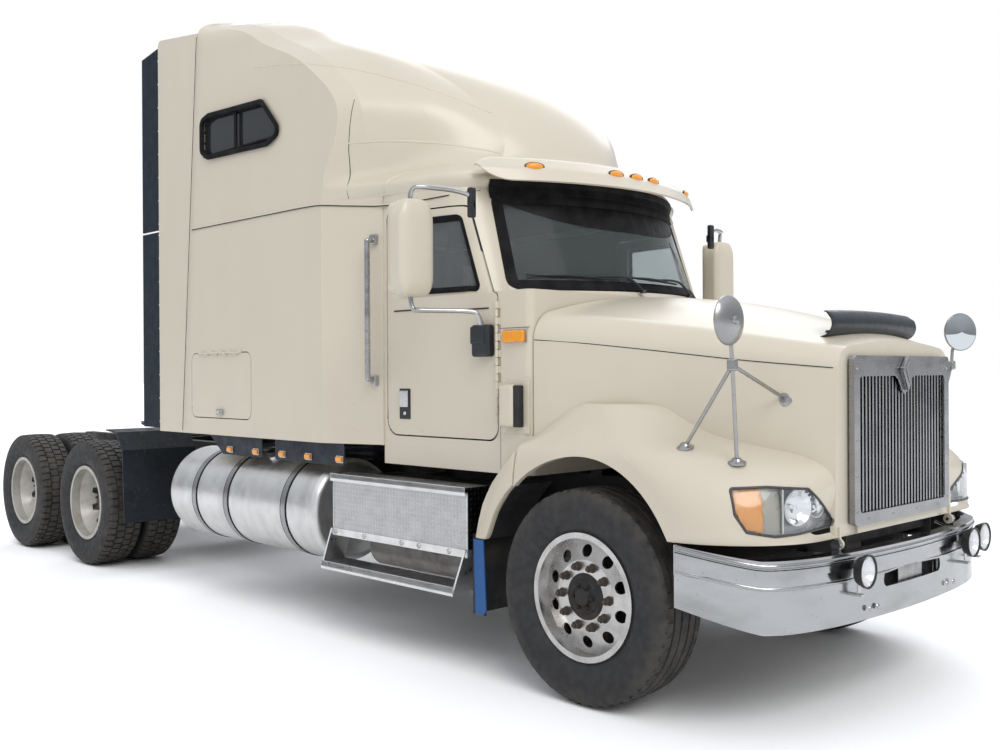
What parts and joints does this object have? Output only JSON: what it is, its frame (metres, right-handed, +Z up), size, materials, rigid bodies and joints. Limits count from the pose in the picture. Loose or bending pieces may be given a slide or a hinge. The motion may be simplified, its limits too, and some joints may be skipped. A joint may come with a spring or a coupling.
{
  "type": "semi truck tractor unit",
  "caption": "Conventional semi truck tractor unit with a high-roof sleeper, tilting hood, hinged doors, steered front wheels and twin drive wheels on a ladder frame.",
  "frame": {"origin": "bottom centre of the bounding box, on the ground", "axes": "+X towards the front of the truck, +Y towards its left side, +Z up"},
  "size_m": [8.2607, 2.96, 4.0149],
  "materials": {
    "cream_paint": "gloss",
    "black_paint": "satin",
    "polished_metal": "polished",
    "aluminium": "polished",
    "steel": "brushed",
    "iron": "rough",
    "rubber": "matte",
    "tyre": "matte",
    "glass": "clear",
    "lens": "clear",
    "smoked_plastic": "gloss",
    "trim": "matte",
    "seat_fabric": "woven",
    "lamp_plastic": "gloss"
  },
  "bodies": {
    "chassis": {"frame_rails": "black_paint", "front_bumper": "polished_metal", "lamps": "lamp_plastic", "front_axle": "black_paint", "drive_axles": "black_paint", "engine_block": "iron", "radiator": "black_paint", "fuel_tanks": "aluminium", "tank_straps": "steel", "side_steps": "aluminium", "muffler": "steel", "cab_mounts": "black_paint", "cab_shell": "cream_paint", "windshield": "glass", "sleeper_shell": "cream_paint", "roof_fairing": "cream_paint", "sleeper_windows": "glass", "side_extenders": "cream_paint", "rubber_extenders": "rubber", "sun_visor": "cream_paint", "sleeper_skirts": "black_paint", "fender_extensions": "cream_paint", "splash_flaps": "rubber", "drive_fenders": "black_paint", "grab_handles": "polished_metal", "dashboard": "trim", "seats": "seat_fabric", "bunk": "seat_fabric", "fifth_wheel_base": "black_paint"},
    "hood": {"hood_shell": "cream_paint", "grille": "polished_metal", "headlamps": "lens", "bug_deflector": "smoked_plastic", "hood_mirrors": "steel"},
    "knuckle_left": {"knuckle_left": "iron"},
    "knuckle_right": {"knuckle_right": "iron"},
    "tie_rod": {"tie_rod": "iron"},
    "steering_wheel": {"steering_wheel": "trim"},
    "fifth_wheel": {"fifth_wheel_plate": "iron"},
    "door_left": {"door_left": "cream_paint", "door_glass_left": "glass", "door_mirror_left": "cream_paint"},
    "luggage_door_left": {"luggage_door_left": "cream_paint"},
    "wheel_front_left": {"front_tyre_left": "tyre", "front_rim_left": "aluminium"},
    "wheels_forward_left": {"tyres_forward_left": "tyre", "rims_forward_left": "steel"},
    "wheels_rear_left": {"tyres_rear_left": "tyre", "rims_rear_left": "steel"},
    "door_right": {"door_right": "cream_paint", "door_glass_right": "glass", "door_mirror_right": "cream_paint"},
    "luggage_door_right": {"luggage_door_right": "cream_paint"},
    "wheel_front_right": {"front_tyre_right": "tyre", "front_rim_right": "aluminium"},
    "wheels_forward_right": {"tyres_forward_right": "tyre", "rims_forward_right": "steel"},
    "wheels_rear_right": {"tyres_rear_right": "tyre", "rims_rear_right": "steel"}
  },
  "joints": [
    {"name": "hood_tilt", "type": "hinge", "parent": "chassis", "child": "hood", "pos_m": [3.974, 0, 0.79], "axis": [0, 1, 0], "range_deg": [0, 70]},
    {"name": "steer_left", "type": "hinge", "parent": "chassis", "child": "knuckle_left", "pos_m": [3, 0.8, 0.503], "axis": [0, 0, 1], "range_deg": [-40, 40]},
    {"name": "steer_right", "type": "hinge", "parent": "chassis", "child": "knuckle_right", "pos_m": [3, -0.8, 0.503], "axis": [0, 0, 1], "range_deg": [-40, 40]},
    {"name": "tie_rod_pivot", "type": "hinge", "parent": "knuckle_left", "child": "tie_rod", "pos_m": [2.75, 0.8, 0.372], "axis": [0, 0, 1], "range_deg": [-40, 40]},
    {"name": "steering_wheel_turn", "type": "hinge", "parent": "chassis", "child": "steering_wheel", "pos_m": [2.1092, 0.5, 1.8308], "axis": [-0.6711, 0, 0.7414], "range_deg": [-640, 640]},
    {"name": "fifth_wheel_tilt", "type": "hinge", "parent": "chassis", "child": "fifth_wheel", "pos_m": [-2.65, 0, 1.05], "axis": [0, 1, 0], "range_deg": [-10, 10]},
    {"name": "door_swing_left", "type": "hinge", "parent": "chassis", "child": "door_left", "pos_m": [2.36, 1.062, 1.8], "axis": [0, 0, -1], "range_deg": [0, 70]},
    {"name": "luggage_door_swing_left", "type": "hinge", "parent": "chassis", "child": "luggage_door_left", "pos_m": [-0.178, 1.198, 1.685], "axis": [1, 0, 0], "range_deg": [0, 90]},
    {"name": "wheel_spin_front_left", "type": "hinge", "parent": "knuckle_left", "child": "wheel_front_left", "pos_m": [3, 1.025, 0.503], "axis": [0, 1, 0], "continuous": true},
    {"name": "wheel_spin_forward_left", "type": "hinge", "parent": "chassis", "child": "wheels_forward_left", "pos_m": [-2.326, 0.905, 0.503], "axis": [0, 1, 0], "continuous": true},
    {"name": "wheel_spin_rear_left", "type": "hinge", "parent": "chassis", "child": "wheels_rear_left", "pos_m": [-3.646, 0.905, 0.503], "axis": [0, 1, 0], "continuous": true},
    {"name": "door_swing_right", "type": "hinge", "parent": "chassis", "child": "door_right", "pos_m": [2.36, -1.062, 1.8], "axis": [0, 0, 1], "range_deg": [0, 70]},
    {"name": "luggage_door_swing_right", "type": "hinge", "parent": "chassis", "child": "luggage_door_right", "pos_m": [-0.178, -1.198, 1.685], "axis": [-1, 0, 0], "range_deg": [0, 90]},
    {"name": "wheel_spin_front_right", "type": "hinge", "parent": "knuckle_right", "child": "wheel_front_right", "pos_m": [3, -1.025, 0.503], "axis": [0, 1, 0], "continuous": true},
    {"name": "wheel_spin_forward_right", "type": "hinge", "parent": "chassis", "child": "wheels_forward_right", "pos_m": [-2.326, -0.905, 0.503], "axis": [0, 1, 0], "continuous": true},
    {"name": "wheel_spin_rear_right", "type": "hinge", "parent": "chassis", "child": "wheels_rear_right", "pos_m": [-3.646, -0.905, 0.503], "axis": [0, 1, 0], "continuous": true}
  ],
  "couplings": [
    {"joint": "steer_right", "follows": "steer_left", "ratio": 1},
    {"joint": "tie_rod_pivot", "follows": "steer_left", "ratio": -1},
    {"joint": "steering_wheel_turn", "follows": "steer_left", "ratio": 16}
  ]
}
